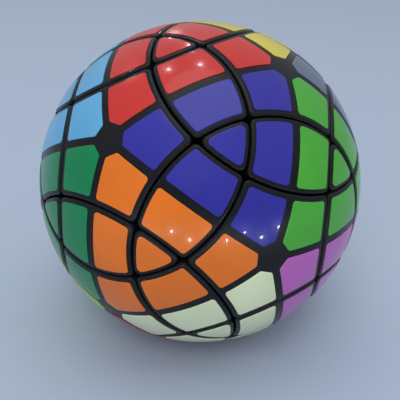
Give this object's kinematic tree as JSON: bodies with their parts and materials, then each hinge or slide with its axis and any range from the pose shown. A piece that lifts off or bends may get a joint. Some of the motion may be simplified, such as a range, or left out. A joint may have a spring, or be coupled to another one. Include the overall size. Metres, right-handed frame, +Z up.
{
  "type": "ball twisty puzzle",
  "caption": "Ball-shaped twisting puzzle: sprung centres, footed edges and corners around a core, with layers that turn about hub axes.",
  "frame": {"origin": "middle of the ball", "axes": "+Z up through the middle of an edge piece, which is a two-fold axis of the ball; +X and +Y through two more edge pieces"},
  "size_m": [0.07, 0.07, 0.07],
  "materials": {
    "shell_plastic": "gloss",
    "base_plastic": "satin",
    "core_plastic": "satin",
    "screw_steel": "satin",
    "spring_steel": "satin",
    "washer_steel": "satin",
    "sticker_blue": "gloss",
    "sticker_red": "gloss",
    "sticker_orange": "gloss",
    "sticker_light_green": "gloss",
    "sticker_dark_green": "gloss",
    "sticker_light_blue": "gloss",
    "sticker_cream": "gloss",
    "sticker_pink": "gloss",
    "sticker_yellow": "gloss",
    "sticker_slate": "gloss",
    "sticker_crimson": "gloss",
    "sticker_white": "gloss",
    "sticker_brown": "gloss",
    "sticker_purple": "gloss",
    "sticker_navy": "gloss",
    "sticker_lemon": "gloss",
    "sticker_peach": "gloss",
    "sticker_teal": "gloss",
    "sticker_silver": "gloss",
    "sticker_lime": "gloss"
  },
  "bodies": {
    "core_frame": {"core": "core_plastic", "centre_screws": "screw_steel", "centre_springs": "spring_steel", "centre_washers": "washer_steel", "centre_bases": "base_plastic", "centre_cap_1": "shell_plastic", "centre_cap_2": "shell_plastic", "centre_cap_3": "shell_plastic", "centre_cap_4": "shell_plastic", "centre_cap_5": "shell_plastic", "centre_cap_6": "shell_plastic", "centre_cap_7": "shell_plastic", "centre_cap_8": "shell_plastic", "centre_cap_9": "shell_plastic", "edge_set_1": "shell_plastic", "edge_set_2": "shell_plastic", "edge_set_3": "shell_plastic", "edge_set_4": "shell_plastic", "edge_set_5": "shell_plastic", "corner_1": "shell_plastic", "corner_2": "shell_plastic", "corner_3": "shell_plastic", "corner_4": "shell_plastic", "corner_5": "shell_plastic"},
    "upper_layer": {"upper_centre_base": "base_plastic", "upper_centre_cap": "shell_plastic", "upper_edge_1": "shell_plastic", "upper_edge_2": "shell_plastic", "upper_edge_3": "shell_plastic", "upper_edge_4": "shell_plastic", "upper_edge_5": "shell_plastic", "upper_corner_1": "shell_plastic", "upper_corner_2": "shell_plastic", "upper_corner_3": "shell_plastic", "upper_corner_4": "shell_plastic", "upper_corner_5": "shell_plastic"},
    "lower_layer": {"lower_centre_base": "base_plastic", "lower_centre_cap": "shell_plastic", "lower_edge_1": "shell_plastic", "lower_edge_2": "shell_plastic", "lower_edge_3": "shell_plastic", "lower_edge_4": "shell_plastic", "lower_edge_5": "shell_plastic", "lower_corner_1": "shell_plastic", "lower_corner_2": "shell_plastic", "lower_corner_3": "shell_plastic", "lower_corner_4": "shell_plastic", "lower_corner_5": "shell_plastic"},
    "rear_layer": {"rear_centre_base": "base_plastic", "rear_centre_cap": "shell_plastic", "rear_edge_1": "shell_plastic", "rear_edge_2": "shell_plastic", "rear_edge_3": "shell_plastic", "rear_edge_4": "shell_plastic", "rear_edge_5": "shell_plastic", "rear_corner_1": "shell_plastic", "rear_corner_2": "shell_plastic", "rear_corner_3": "shell_plastic", "rear_corner_4": "shell_plastic", "rear_corner_5": "shell_plastic"}
  },
  "joints": [
    {"name": "upper_layer_turn", "type": "hinge", "parent": "core_frame", "child": "upper_layer", "pos_m": [0, 0, 0], "axis": [0.5257, 0, 0.8507], "continuous": true},
    {"name": "lower_layer_turn", "type": "hinge", "parent": "core_frame", "child": "lower_layer", "pos_m": [0, 0, 0], "axis": [0, -0.8507, -0.5257], "continuous": true},
    {"name": "rear_layer_turn", "type": "hinge", "parent": "core_frame", "child": "rear_layer", "pos_m": [0, 0, 0], "axis": [-0.8507, 0.5257, 0], "continuous": true}
  ]
}
